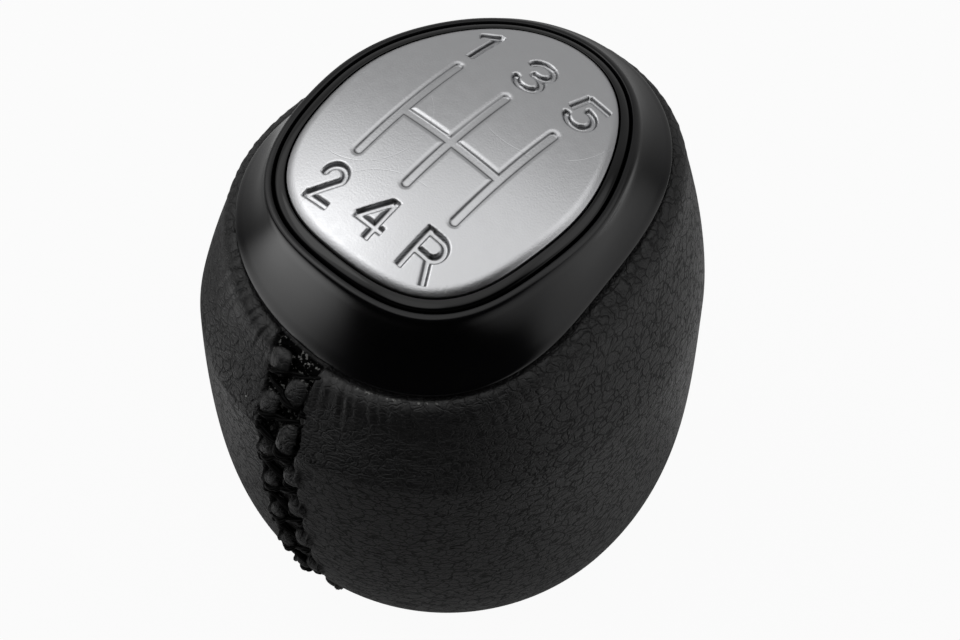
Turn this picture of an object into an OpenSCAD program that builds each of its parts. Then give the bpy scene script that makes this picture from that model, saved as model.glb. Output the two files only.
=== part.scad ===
// Gear shift knob: a stitched leather grip on a moulded core, a flared plastic
// bezel, and a domed aluminium shift plate. It pushes onto the lever from below.
// X is to the right, Y is forward, Z is up along the lever. The origin is at the
// mouth of the lever bore, on the face that the knob stands on.

/* [Grip] */
// Height from the standing face to the top of the plate
knob_h = 68; // [64:0.5:74]
// Width of the grip at its widest level
grip_w = 53.8; // [50:0.2:58]
// Reach of the grip in front of the lever axis
grip_front = 31.6; // [29:0.1:33]
// Reach of the grip behind the lever axis
grip_rear = 28.6; // [27:0.1:31]
// Height of the widest level, at the lever axis
widest_z = 39.8; // [36:0.2:42]
// Fall of the widest level towards the front, in mm for each mm
widest_fall = 0.106; // [0:0.01:0.2]
// Sharpness of the shoulder at the sides: 1 is an ellipse, more is flatter
shoulder_flat = 1.37; // [1:0.01:1.5]
// How much flatter the shoulder gets towards the rear
shoulder_flat_rear = 0.185; // [0:0.005:0.3]
// Boxiness of the lower body at the sides: 1 is an ellipse, less is fuller
body_full = 0.59; // [0.5:0.01:0.8]
// How much less full the lower body is at the rear
body_full_rear = 0.139; // [0:0.005:0.2]
// Radius of the flat underside
base_r = 12; // [11:0.1:14]

/* [Leather] */
// Thickness of the leather
leather_t = 1.2; // [0.9:0.1:1.6]
// Depth of the crevice where the leather dives under the bezel
crevice_depth = 0.4; // [0.2:0.05:0.8]
// Depth of the soft hollow in the rear shoulder
hollow_depth = 0.45; // [0:0.05:0.8]
// Height of the soft ridge along the widest level
ridge_h = 0.25; // [0:0.05:0.5]
// Number of gathers round the lip
gather_count = 40; // [30:1:44]
// Height of a gather at the lip
gather_h = 0.14; // [0:0.02:0.25]
// How far the leather is tucked in under the bezel
tuck_in = 2.2; // [1.8:0.1:2.4]

/* [Seam] */
// Number of times that the thread reaches the seam's left side
stitch_count = 7; // [6:1:8]
// Leather above the first left stitch hole, measured along the seam
stitch_first = 5.1; // [4:0.1:6]
// Step from the first left hole to the second
stitch_step = 5.5; // [5:0.1:6]
// Growth of each further step
stitch_growth = 0.65; // [0:0.05:0.8]
// Half width of the seam at the bezel
seam_half_top = 4.2; // [3.4:0.1:4.6]
// Half width of the seam below the widest level
seam_half_low = 2.95; // [2.4:0.05:3.4]
// How far the seam leans to the right on its way down
seam_lean = 1.5; // [0:0.1:2]
// Height of the two rows of folded leather
seam_pad_h = 0.6; // [0.2:0.05:0.8]
// Depth of the valley between the rows
seam_valley = 0.5; // [0.2:0.05:0.6]
// Diameter of the thread
thread_d = 0.8; // [0.6:0.05:1]
// Height over which the rows fade out above the hem
seam_fade_h = 4; // [3:0.5:8]

/* [Shift plate] */
// Length of the plate, front to rear
plate_len = 38.5; // [37:0.1:39.5]
// Width of the plate
plate_w = 30.3; // [29:0.1:31]
// How much further the plate reaches at the front than at the rear
plate_nose = 1.36; // [0.8:0.02:1.6]
// Fullness of the plate's front corners
plate_shoulder = 0.87; // [0.5:0.01:1]
// Squareness of the plate's outline
plate_square = 0.35; // [0:0.01:0.4]
// Distance of the outline's centre behind the lever axis
plate_back = 0.39; // [0:0.01:0.6]
// Thickness of the sheet
plate_t = 0.8; // [0.6:0.05:1]
// Radius of the dome
dome_r = 51; // [46:0.5:60]
// Drop of the rolled edge
edge_drop = 0.45; // [0.2:0.05:0.6]
// Width of the rolled edge
edge_w = 1.1; // [0.8:0.05:1.5]
// Spacing of the gate pattern's lines
gate_pitch = 6.85; // [6.2:0.05:7.2]
// Length of the gate pattern's lines
gate_len = 16.9; // [15:0.1:17.5]
// How far the lines' middle lies ahead of the crossbar
gate_ahead = 0.75; // [0:0.05:1.2]
// Width of the pressed grooves
groove_w = 1.5; // [1.2:0.05:1.8]
// Depth of the pressed grooves
groove_depth = 0.35; // [0.2:0.05:0.45]
// Thickness of the adhesive pad under the plate
pad_t = 0.4; // [0.3:0.05:0.6]

/* [Carrier and bezel] */
// Width of the carrier's glossy rim round the plate
rim_w = 1.15; // [0.9:0.05:1.4]
// Height of the rim above the plate's edge
rim_over = 0.1; // [-0.1:0.05:0.3]
// Thickness of the carrier at its centre
carrier_t = 5.6; // [5:0.1:6]
// How much longer the bezel's lower edge is than the plate
flare_len = 11.1; // [10.1:0.1:11.7]
// How much wider the bezel's lower edge is than the plate
flare_w = 10.7; // [9.9:0.1:11.7]
// How much further the lower edge reaches at the front than at the rear
bezel_nose = 4.8; // [4.4:0.05:5.1]
// Fullness of the lower edge's front corners
bezel_shoulder = 1.75; // [1.4:0.05:1.9]
// Squareness of the lower edge's outline, below 0 more pointed
bezel_square = -0.12; // [-0.2:0.02:0.1]
// Distance of the lower edge's centre behind the lever axis
bezel_back = 3.85; // [3.5:0.05:4.1]
// Drop of the lower edge below the top of the plate, at the lever axis
bezel_drop = 14.1; // [13.6:0.1:14.5]
// Rise of the lower edge towards the front, in mm for each mm
bezel_rise = 0.096; // [0.08:0.002:0.12]
// How far the lower edge rises at the sides
bezel_side_rise = 3.2; // [2.6:0.1:3.6]
// Wall of the bezel
bezel_wall = 1.8; // [1.5:0.1:2]
// Hollow of the bezel's flank
flank_hollow = 0.35; // [0:0.05:0.6]
// Roundness of the bezel's lower roll
roll_r = 0.9; // [0.8:0.1:1.4]
// Number of snap tabs on the bezel
tab_count = 4; // [2:2:6]

/* [Lever socket] */
// Radius of the lever bore
bore_r = 6; // [5:0.1:6.5]
// Depth of the lever bore
bore_depth = 42; // [36:0.5:43]
// Wall of the socket
socket_wall = 2.6; // [2.2:0.1:3]
// Height of the socket's closed end above the bore
socket_end_t = 3; // [2:0.1:3.4]
// Number of anti-turn splines on the socket
spline_count = 6; // [4:1:10]
// Outer radius of the bottom collar
collar_r = 15.2; // [14.6:0.1:16]
// How far the collar stands proud of the leather
collar_proud = 0.6; // [0.4:0.05:1]
// Thickness of the collar's flange
collar_t = 2.4; // [2.2:0.1:3]
// Number of coring pockets in the core
pocket_count = 12; // [10:1:14]
// Width of a pocket, measured from the axis outwards
pocket_w = 5.6; // [4:0.1:6]

/* [Clearances] */
// Gap between pieces that are pressed or glued together
fit_gap = 0.1; // [0.05:0.05:0.15]
// Visible gap round the plate and round the carrier's rim
show_gap = 0.2; // [0.1:0.05:0.3]

/* [Hidden] */

around = 4 * gather_count;
over = 1;

// The plan angle runs from the front to the right. Steps crowd together at the
// rear, where the seam is.
crowd = 0.6;
coarse = around / 2;
function plan_angle(i, n) = 360 * i / n + crowd * sin(360 * i / n) * 180 / PI;
CROWDED = [for (i = [0 : coarse - 1]) plan_angle(i, coarse)];
EVEN = [for (i = [0 : coarse - 1]) 360 * i / coarse];

bezel_len = plate_len + flare_len;
bezel_w = plate_w + flare_w;

// Egg-shaped outline: length, width, nose, front shoulders and squareness
function egg_r(len, wid, nose, shoulder, square, a) =
    (len + wid) / 4 + nose * cos(a) + (len - wid) / 4 * cos(2 * a)
    + shoulder * cos(3 * a) + square * cos(5 * a);
function polar(r, a, back) = [r * sin(a), r * cos(a) - back];

function plate_plan(a, grow) =
    polar(egg_r(plate_len, plate_w, plate_nose, plate_shoulder, plate_square, a) + grow, a, plate_back);
function bezel_plan(a, grow) =
    polar(egg_r(bezel_len, bezel_w, bezel_nose, bezel_shoulder, bezel_square, a) + grow, a, bezel_back);

// Height of the spherical dome above a point in plan
function dome_z(p) = knob_h - dome_r + sqrt(dome_r * dome_r - p.x * p.x - p.y * p.y);
function on_dome(p, down) = [p.x, p.y, dome_z(p) - down];

// Height of the bezel's lower edge
function edge_z(p) =
    knob_h - bezel_drop + bezel_rise * p.y + bezel_side_rise * pow(2 * p.x / bezel_w, 2);

// Widest level of the grip
function widest(a) =
    let (p = [grip_w / 2 * sin(a), (cos(a) > 0 ? grip_front : grip_rear) * cos(a)])
    [p.x, p.y, widest_z - widest_fall * p.y];

// Smooth skin of the grip: s runs from 0 at the bezel's edge, past 1 at the
// widest level, to 2 at the flat underside
function skin(a, s) =
    let (w = widest(a), e = bezel_plan(a, 0), ez = edge_z(e), b = polar(base_r, a, 0))
    s <= 1 ? skin_top(e, ez, w, s, shoulder_flat - shoulder_flat_rear * cos(a))
    : skin_low(b, w, s - 1, 2 / (body_full - body_full_rear * cos(a)));
function skin_top(e, ez, w, s, flat) =
    let (out = pow(sin(90 * s), flat), up = pow(cos(90 * s), flat))
    [e.x + (w.x - e.x) * out, e.y + (w.y - e.y) * out, w.z + (ez - w.z) * up];
function skin_low(b, w, s, full) =
    let (down = sin(90 * s), out = pow(max(0, 1 - pow(down, full)), 1 / full))
    [b.x + (w.x - b.x) * out, b.y + (w.y - b.y) * out, w.z - (w.z - collar_proud) * down];

function unit(v) = v / norm(v);
// Outward normal, from a short step either way along the skin
step_s = 0.02;
step_a = 1;
function skin_normal(a, s) =
    let (m = min(max(s, 1.2 * step_s), 2 - 1.2 * step_s))
    unit(cross(skin(a + step_a, m) - skin(a - step_a, m), skin(a, m + step_s) - skin(a, m - step_s)));
function skin_inset(a, s, depth) = skin(a, s) - depth * skin_normal(a, s);

function bump(d, width) = exp(-pow(d / width, 2));
function rearward(a) = pow(max(0, -cos(a)), 1.5);

// Half width and middle of the seam at a level
seam_spread = 0.55;
function seam_half(s) = seam_half_low + (seam_half_top - seam_half_low) * bump(s, seam_spread);
function seam_middle(s) = seam_lean * (1 - bump(s, 1));

// Relief of the leather, measured outwards from the smooth skin. Levels and
// widths are in the skin's own level, and the seam's are shares of its half width.
crevice_width = 0.09;
ridge_level = 1.02;
ridge_width = 0.16;
hollow_level = 0.55;
hollow_width = 0.24;
gather_level = 0.27;
gather_width = 0.16;
row_place = 0.5;
row_width = 0.28;
valley_width = 0.22;
seam_start = 0.2;
function lip_relief(s) = -crevice_depth * bump(s, crevice_width);
function shoulder_relief(a, s) =
    let (ridge = ridge_h * bump(s - ridge_level, ridge_width),
        hollow = hollow_depth * bump(s - hollow_level, hollow_width))
    rearward(a) * (ridge - hollow);
function gather_relief(i, s) = gather_h * cos(90 * i) * bump(s - gather_level, gather_width);
function seam_relief(p, s) =
    p.y > 0 ? 0 :
    let (k = abs(p.x - seam_middle(s)) / seam_half(s),
        fade = min(1, s / seam_start, max(0, (p.z - collar_proud) / seam_fade_h)))
    fade * (seam_pad_h * bump(k - row_place, row_width) - seam_valley * bump(k, valley_width));
function leather_pt(i, s) =
    let (a = plan_angle(i, around), p = skin(a, s),
        relief = lip_relief(s) + shoulder_relief(a, s) + gather_relief(i, s) + seam_relief(p, s))
    p + relief * skin_normal(a, s);

// Closed ring solid: each loop joins the next, and the last joins the first
module ring_loft(loops) {
    m = len(loops);
    n = len(loops[0]);
    faces = [for (j = [0 : m - 1], i = [0 : n - 1])
        let (k = (j + 1) % m, l = (i + 1) % n)
        each [[j * n + i, k * n + i, k * n + l], [j * n + i, k * n + l, j * n + l]]];
    polyhedron([for (loop = loops) each loop], faces);
}

// Closed solid between two centre points, with loops from the top to the bottom
module capped_loft(top, loops, bottom) {
    m = len(loops);
    n = len(loops[0]);
    walls = [for (j = [0 : m - 2], i = [0 : n - 1])
        let (l = (i + 1) % n)
        each [[j * n + i, (j + 1) * n + i, (j + 1) * n + l], [j * n + i, (j + 1) * n + l, j * n + l]]];
    lid = [for (i = [0 : n - 1]) [m * n, i, (i + 1) % n]];
    floor_ = [for (i = [0 : n - 1]) [m * n + 1, (m - 1) * n + (i + 1) % n, (m - 1) * n + i]];
    polyhedron([for (loop = loops) each loop, top, bottom], concat(walls, lid, floor_));
}

// Levels of the grip's lining, from the lip down to the underside
LINING = [0.25, 0.5, 0.75, 1, 1.4, 1.7, 1.88];
lip_levels = 8;
low_levels = 8;
hem_r = collar_r + show_gap;

function tuck_pt(a, down) =
    let (p = bezel_plan(a, -tuck_in)) [p.x, p.y, edge_z(bezel_plan(a, 0)) - crevice_depth - down];
function hem_pt(a, up) = let (p = polar(hem_r, a, 0)) [p.x, p.y, collar_proud + up];
// Loops just inside the leather, from the tuck down to the hem
function inner_loops(n, depth) = concat(
    [[for (i = [0 : n - 1]) tuck_pt(plan_angle(i, n), depth)]],
    [for (s = LINING) [for (i = [0 : n - 1]) skin_inset(plan_angle(i, n), s, depth)]],
    [[for (i = [0 : n - 1]) hem_pt(plan_angle(i, n), depth)]]);
function reversed(list) = [for (i = [len(list) - 1 : -1 : 0]) list[i]];

module leather_cover() {
    tuck = [for (i = [0 : around - 1]) tuck_pt(plan_angle(i, around), 0)];
    shoulder = [for (j = [0 : lip_levels - 1]) [for (i = [0 : around - 1]) leather_pt(i, j / lip_levels)]];
    body = [for (j = [0 : low_levels - 1]) [for (i = [0 : around - 1]) leather_pt(i, 1 + j / low_levels)]];
    hem = [for (i = [0 : around - 1]) hem_pt(plan_angle(i, around), 0)];
    color([0.09, 0.09, 0.09])
        ring_loft(concat([tuck], shoulder, body, [hem], reversed(inner_loops(around, leather_t))));
}

// Seam stitches: the thread zigzags between holes at the left and notches at the
// right. A place on the seam is a share of its half width and a run of leather
// down from the bezel.
hole_out = 0.17;
notch_in = 0.62;
notch_share = 0.45;
stitch_start = 0.5;
thread_room = 0.58;
leg_points = 9;
thread_lift = 2.4 * fit_gap;
thread_sides = 6;
shoulder_run = 1.02 * norm(skin(180, 1) - skin(180, 0));
low_run = 1.16 * (widest(180).z - collar_proud);
run_power = 0.72;
last_level = 1.86;
seam_end = shoulder_run + low_run * (1 - pow(2 - last_level, 1 / run_power));
function seam_level(run) =
    run < shoulder_run ? acos(1 - 2 * run / shoulder_run) / 180
    : 2 - pow(max(0, 1 - (run - shoulder_run) / low_run), run_power);
function steps_run(k) = stitch_first + stitch_step * k + stitch_growth * k * (k - 1) / 2;
function hole_run(k) = steps_run(k) * seam_end / steps_run(stitch_count);
function notch_run(k) =
    k < 0 ? stitch_start : hole_run(k) + notch_share * (hole_run(k + 1) - hole_run(k));
function seam_angle(x, s) = 180 - asin(x * sin(165) / skin(165, s).x);
function seam_x(share, s) = seam_middle(s) + share * (seam_half(s) + (share < 0 ? hole_out : -notch_in));
function seam_pt(share, run, lift) =
    let (s = seam_level(run), a = seam_angle(seam_x(share, s), s), p = skin(a, s))
    p + (shoulder_relief(a, s) + seam_relief(p, s) + lift) * skin_normal(a, s);
function leg_path(from, to, lift) =
    [for (j = [0 : leg_points - 1])
        let (q = from + (to - from) * j / (leg_points - 1))
        seam_pt(q.x, q.y, lift)];

module thread_tube(path, out, d) {
    m = len(path);
    rings = [for (j = [0 : m - 1])
        let (t = unit(path[min(m - 1, j + 1)] - path[max(0, j - 1)]), side = unit(cross(t, out)),
            up = cross(side, t))
        [for (i = [0 : thread_sides - 1])
            path[j] + d / 2 * (cos(360 * i / thread_sides) * up + sin(360 * i / thread_sides) * side)]];
    capped_loft(path[0], rings, path[m - 1]);
}

module stitch(from, to) {
    path = leg_path(from, to, thread_d / 2 + thread_lift);
    thread_tube(path, skin_normal(180, seam_level((from.y + to.y) / 2)), thread_d);
}

module seam_thread() {
    color([0.03, 0.03, 0.03]) {
        for (k = [0 : stitch_count - 1])
            stitch([-1, hole_run(k) + thread_room], [1, notch_run(k) - thread_room]);
        for (k = [0 : stitch_count])
            stitch([1, notch_run(k - 1) + thread_room], [-1, hole_run(k) - thread_room]);
    }
}

// Rings of the plate's dome and of the dish under it, as shares of the outline
DOME_RINGS = [0.22, 0.44, 0.64, 0.82];
DISH_RINGS = [0.3, 0.6, 0.92];
pad_share = 0.88;
function dome_loop(share, down) =
    [for (a = EVEN) on_dome(share * plate_plan(a, 0), down)];
function plate_loop(grow, down) =
    [for (a = EVEN) on_dome(plate_plan(a, grow), down)];
function dome_loops(down) = [for (share = DOME_RINGS) dome_loop(share, down)];
function crown(down) = [0, 0, knob_h - down];

module gate_lines() {
    for (x = [-gate_pitch, 0, gate_pitch], end = [-1, 1])
        hull() {
            translate([x, gate_ahead + end * (gate_len - groove_w) / 2]) circle(d = groove_w, $fn = 24);
            translate([x, 0]) circle(d = groove_w, $fn = 24);
        }
    square([2 * gate_pitch, groove_w], center = true);
}

hem_down = edge_drop + 0.9 * plate_t;
module shift_plate() {
    loops = concat(
        dome_loops(0),
        [plate_loop(-edge_w, 0), plate_loop(-0.4 * edge_w, 0.3 * edge_drop), plate_loop(0, edge_drop),
            plate_loop(0, hem_down), plate_loop(-plate_t, hem_down), plate_loop(-edge_w, plate_t)],
        reversed(dome_loops(plate_t)));
    color([0.78, 0.79, 0.81])
        difference() {
            capped_loft(crown(0), loops, crown(plate_t));
            difference() {
                translate([0, 0, knob_h / 2]) linear_extrude(knob_h) gate_lines();
                translate([0, 0, knob_h - dome_r]) sphere(dome_r - groove_depth, $fn = 160);
            }
        }
}

pad_down = plate_t + fit_gap;
module adhesive_pad() {
    color([0.9, 0.9, 0.86])
        difference() {
            intersection() {
                linear_extrude(knob_h) polygon([for (a = EVEN) pad_share * plate_plan(a, 0)]);
                translate([0, 0, knob_h - dome_r]) sphere(dome_r - pad_down, $fn = 160);
            }
            translate([0, 0, knob_h - dome_r]) sphere(dome_r - pad_down - pad_t, $fn = 160);
        }
}

// Carrier: a dish under the plate, with a glossy rim that shows round it
dish_down = pad_down + pad_t + fit_gap;
carrier_z = knob_h - dish_down - carrier_t;
rim_out = show_gap + rim_w;
rim_round = 0.45;
function flat_loop(angles, grow, z) = [for (a = angles) let (p = plate_plan(a, grow)) [p.x, p.y, z]];

module plate_carrier() {
    rim_down = edge_drop - rim_over;
    loops = concat(
        [for (share = DISH_RINGS) dome_loop(share, dish_down)],
        [plate_loop(-plate_t - show_gap, edge_drop + plate_t + pad_t + fit_gap),
            plate_loop(show_gap, edge_drop + plate_t + pad_t + fit_gap),
            plate_loop(show_gap, rim_down + rim_round / 3), plate_loop(show_gap + 0.3 * rim_w, rim_down),
            plate_loop(show_gap + 0.75 * rim_w, rim_down + rim_round / 4),
            plate_loop(rim_out, rim_down + rim_round),
            flat_loop(EVEN, rim_out, carrier_z)]);
    color([0.04, 0.04, 0.04]) capped_loft(crown(dish_down), loops, [0, 0, carrier_z]);
}

// Bezel: its top edge, hollow flank, rolled lower edge and seat on the leather
bore_out = rim_out + show_gap;
seat_down = crevice_depth - fit_gap;
top_w = 0.9;
top_round = 0.3;
skirt_h = 2.4;
flank_levels = 6;
function mix(a, b, k) = a + (b - a) * k;
function rim_z(a) = dome_z(plate_plan(a, bore_out)) - edge_drop;
function edge_pt(a, grow, up) = let (p = bezel_plan(a, grow)) [p.x, p.y, edge_z(bezel_plan(a, 0)) + up];
function top_pt(a, grow, down) = let (p = plate_plan(a, bore_out + grow)) [p.x, p.y, rim_z(a) - down];
function flank_pt(a, k) =
    mix(top_pt(a, top_w, 1.2 * top_round), edge_pt(a, 0, roll_r), k)
    - flank_hollow * sin(180 * k) * [sin(a), cos(a), 0];

module bezel() {
    loops = concat(
        [[for (a = EVEN) top_pt(a, 0, top_round)],
            [for (a = EVEN) top_pt(a, 0.3 * top_w, 0)]],
        [for (j = [0 : flank_levels]) [for (a = EVEN) flank_pt(a, j / flank_levels)]],
        [[for (a = EVEN) edge_pt(a, -0.15 * roll_r, 0.35 * roll_r)],
            [for (a = EVEN) edge_pt(a, -0.6 * roll_r, -seat_down)],
            [for (a = EVEN) edge_pt(a, -bezel_wall, -seat_down)],
            [for (a = EVEN) edge_pt(a, -bezel_wall, roll_r)],
            [for (a = EVEN) top_pt(a, 0, skirt_h)]]);
    color([0.05, 0.05, 0.055]) {
        ring_loft(loops);
        for (k = [0 : tab_count - 1]) snap_tab(tab_angle(k), 0);
    }
}

// Snap tabs of the bezel, in slots of the core
tab_w = 4;
tab_off = 0.35;
tab_t = 0.9;
tab_reach = 4.5;
barb = 0.5;
barb_h = 1.2;
function tab_angle(k) = 360 * (k + 0.5) / tab_count;
module snap_tab(a, grow) {
    p = plate_plan(a, bore_out + tab_off);
    low = edge_z(p) - tab_reach;
    high = dome_z(p) - edge_drop - skirt_h / 2;
    translate([p.x, p.y, 0]) rotate([0, 0, -a]) {
        translate([-tab_w / 2 - grow, -grow, low - grow])
            cube([tab_w + 2 * grow, tab_t + 2 * grow, high - low + grow]);
        translate([-tab_w / 2 - grow, -barb - grow, low - grow])
            cube([tab_w + 2 * grow, barb + 2 * grow, barb_h + 2 * grow]);
    }
}

// Lever socket, with splines and a groove for its retaining ring
socket_r = bore_r + socket_wall;
socket_h = bore_depth + socket_end_t;
spline_h = 26;
spline_low = 8;
spline_out = 0.9;
spline_w = 2.2;
ring_z = bore_depth - 5;
ring_h = 1.2;
ring_in = socket_r - 0.8;
ring_out = socket_r + 1;
ring_turn = 300;

module splines(grow) {
    for (k = [0 : spline_count - 1])
        rotate([0, 0, 360 * k / spline_count])
            translate([0, -spline_w / 2 - grow, spline_low - grow])
                cube([socket_r + spline_out + grow, spline_w + 2 * grow, spline_h + 2 * grow]);
}

module lever_socket() {
    color([0.22, 0.22, 0.24])
        difference() {
            union() {
                cylinder(r = socket_r, h = socket_h, $fn = 72);
                splines(0);
            }
            translate([0, 0, -over]) cylinder(r = bore_r, h = bore_depth + over, $fn = 72);
            translate([0, 0, ring_z - fit_gap])
                rotate_extrude($fn = 72)
                    translate([ring_in - fit_gap, 0]) square([socket_wall, ring_h + 2 * fit_gap]);
        }
}

module retaining_ring() {
    color([0.6, 0.6, 0.62])
        translate([0, 0, ring_z])
            rotate_extrude(angle = ring_turn, $fn = 72)
                translate([ring_in, 0]) square([ring_out - ring_in, ring_h]);
}

// Bottom collar: a flange that closes the underside, on a spigot in the core
spigot_r = collar_r - 2.4;
spigot_h = 6;
module bottom_collar() {
    color([0.07, 0.07, 0.07])
        difference() {
            union() {
                cylinder(r = collar_r, h = collar_t, $fn = 96);
                cylinder(r = spigot_r, h = spigot_h, $fn = 96);
            }
            translate([0, 0, -over]) cylinder(r = socket_r + fit_gap, h = spigot_h + 2 * over, $fn = 72);
        }
}

// Core: the moulded body under the leather, with the pedestal for the carrier
pedestal_in = rim_out - show_gap;
glue_t = 0.18;
core_skin = leather_t + glue_t;
pocket_low = 18;
pocket_in = socket_r + 2.4;
rib_w = 2.6;
hem_relief = 0.5;
module core() {
    top_z = carrier_z - fit_gap;
    foot = [for (a = CROWDED)
        let (p = plate_plan(a, pedestal_in)) [p.x, p.y, tuck_pt(a, core_skin).z]];
    color([0.16, 0.16, 0.17])
        difference() {
            capped_loft([0, 0, top_z],
                concat([flat_loop(CROWDED, pedestal_in, top_z), foot], inner_loops(coarse, core_skin)),
                [0, 0, collar_proud + core_skin]);
            translate([0, 0, -over])
                cylinder(r = socket_r + fit_gap, h = socket_h + fit_gap + over, $fn = 72);
            splines(fit_gap);
            translate([0, 0, ring_z - fit_gap])
                cylinder(r = ring_out + fit_gap, h = ring_h + 2 * fit_gap, $fn = 72);
            translate([0, 0, -over])
                cylinder(r = hem_r + hem_relief, h = collar_t + fit_gap + over, $fn = 96);
            translate([0, 0, -over])
                cylinder(r = spigot_r + fit_gap, h = spigot_h + fit_gap + over, $fn = 96);
            for (k = [0 : tab_count - 1]) snap_tab(tab_angle(k), fit_gap);
            for (k = [0 : pocket_count - 1]) pocket(360 * (k + 0.5) / pocket_count, top_z);
        }
}

// One coring pocket, open under the carrier
module pocket(a, top_z) {
    half = 180 / pocket_count - asin(rib_w / 2 / pocket_in);
    translate([0, 0, pocket_low])
        rotate([0, 0, a - half])
            rotate_extrude(angle = 2 * half, $fn = 72)
                translate([pocket_in, 0]) square([pocket_w, top_z - pocket_low + over]);
}

core();
lever_socket();
retaining_ring();
bottom_collar();
leather_cover();
seam_thread();
bezel();
plate_carrier();
adhesive_pad();
shift_plate();
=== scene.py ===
import bpy
import numpy as np
from bpy.props import FloatProperty, FloatVectorProperty, IntProperty, PointerProperty
from bpy.types import Operator, Panel, PropertyGroup
from mathutils import Matrix, Vector


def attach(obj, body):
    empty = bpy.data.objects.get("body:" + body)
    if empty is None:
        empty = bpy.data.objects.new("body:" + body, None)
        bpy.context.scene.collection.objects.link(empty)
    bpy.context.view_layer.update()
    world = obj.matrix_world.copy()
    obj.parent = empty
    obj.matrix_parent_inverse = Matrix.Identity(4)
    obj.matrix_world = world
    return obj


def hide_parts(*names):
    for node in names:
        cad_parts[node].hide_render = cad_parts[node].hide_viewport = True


bl_info = {
    "name": "Gear shift knob",
    "version": (1, 0, 0),
    "blender": (4, 5, 0),
    "location": "3D View > Sidebar > Shift Knob",
    "description": "Dresses the knob's solids: stitched leather, pressed plate, bezel and rim",
    "category": "Object",
}

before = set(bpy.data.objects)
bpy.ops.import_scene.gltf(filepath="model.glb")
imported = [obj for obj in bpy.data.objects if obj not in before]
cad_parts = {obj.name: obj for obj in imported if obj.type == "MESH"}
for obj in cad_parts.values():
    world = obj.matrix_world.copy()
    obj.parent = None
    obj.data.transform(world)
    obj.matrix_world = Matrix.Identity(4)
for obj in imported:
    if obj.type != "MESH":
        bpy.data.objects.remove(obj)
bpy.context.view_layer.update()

MM = 0.001

# Forms shared with the solids, in millimetres. The plan angle runs from the front to the right.
KNOB_H = 68.0
GRIP_W, GRIP_FRONT, GRIP_REAR = 53.8, 31.6, 28.6
WIDEST_Z, WIDEST_FALL = 39.8, 0.106
SHOULDER_FLAT, SHOULDER_FLAT_REAR = 1.37, 0.185
BODY_FULL, BODY_FULL_REAR = 0.59, 0.139
BASE_R = 12.0
COLLAR_PROUD, COLLAR_R = 0.6, 15.2
LEATHER_T = 1.2
TUCK_IN = 2.2
PLATE = dict(length=38.5, width=30.3, nose=1.36, shoulder=0.87, square=0.35)
PLATE_BACK = 0.39
BEZEL = dict(length=49.6, width=41.0, nose=4.8, shoulder=1.75, square=-0.12)
BEZEL_BACK = 3.85
BEZEL_DROP, BEZEL_RISE, BEZEL_SIDE_RISE = 14.1, 0.096, 3.2
DOME_R = 51.0
PLATE_T = 0.8
FIT_GAP, SHOW_GAP = 0.1, 0.2
CROWD = 0.6
CREVICE_DEPTH, CREVICE_WIDTH = 0.4, 0.09


def unit(v):
    """Vectors divided by their own lengths."""
    return v / np.linalg.norm(v, axis=-1, keepdims=True)


def bump(d, width):
    """Bell of height one: e to the minus square of distance over width."""
    return np.exp(-np.square(d / width))


def ease(t):
    """Smooth step from 0 to 1 with flat ends: 3t squared minus 2t cubed."""
    t = np.clip(t, 0, 1)
    return t * t * (3 - 2 * t)


def egg_r(a, length, width, nose, shoulder, square):
    """Egg outline as a cosine series: mean radius, nose, ovalness, front shoulders and squareness."""
    return (
        (length + width) / 4 + nose * np.cos(a) + (length - width) / 4 * np.cos(2 * a)
        + shoulder * np.cos(3 * a) + square * np.cos(5 * a)
    )


def polar(r, a, back):
    """Plan point at radius r and plan angle a, moved back along Y."""
    return np.stack(np.broadcast_arrays(r * np.sin(a), r * np.cos(a) - back), axis=-1)


def at_height(plan, z):
    """Plan points at their heights."""
    return np.concatenate([plan, np.broadcast_to(z, plan.shape[:-1])[..., None]], axis=-1)


def plate_plan(a, grow):
    """Plate outline, grown outwards by a margin."""
    return polar(egg_r(a, **PLATE) + grow, a, PLATE_BACK)


def bezel_plan(a, grow):
    """Outline of the bezel's lower edge, grown outwards by a margin."""
    return polar(egg_r(a, **BEZEL) + grow, a, BEZEL_BACK)


def dome_z(p):
    """Height of the spherical dome above a plan point."""
    return KNOB_H - DOME_R + np.sqrt(DOME_R**2 - p[..., 0] ** 2 - p[..., 1] ** 2)


def on_dome(plan, down):
    """Plan points at a depth under the dome."""
    return at_height(plan, dome_z(plan) - down)


def edge_z(p):
    """Height of the bezel's lower edge: it rises to the front and to both sides."""
    aside = 2 * p[..., 0] / BEZEL["width"]
    return KNOB_H - BEZEL_DROP + BEZEL_RISE * p[..., 1] + BEZEL_SIDE_RISE * aside**2


def widest(a):
    """Widest level of the grip: two half ellipses on a plane that falls to the front."""
    y = np.where(np.cos(a) > 0, GRIP_FRONT, GRIP_REAR) * np.cos(a)
    return np.stack([GRIP_W / 2 * np.sin(a), y, WIDEST_Z - WIDEST_FALL * y], axis=-1)


def between(first, last, level, height):
    """Points between two curves: level is the share of the way in plan, height the share of first's."""
    plan = first[..., :2] + (last[..., :2] - first[..., :2]) * level[..., None]
    return at_height(plan, last[..., 2] + (first[..., 2] - last[..., 2]) * height)


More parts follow.
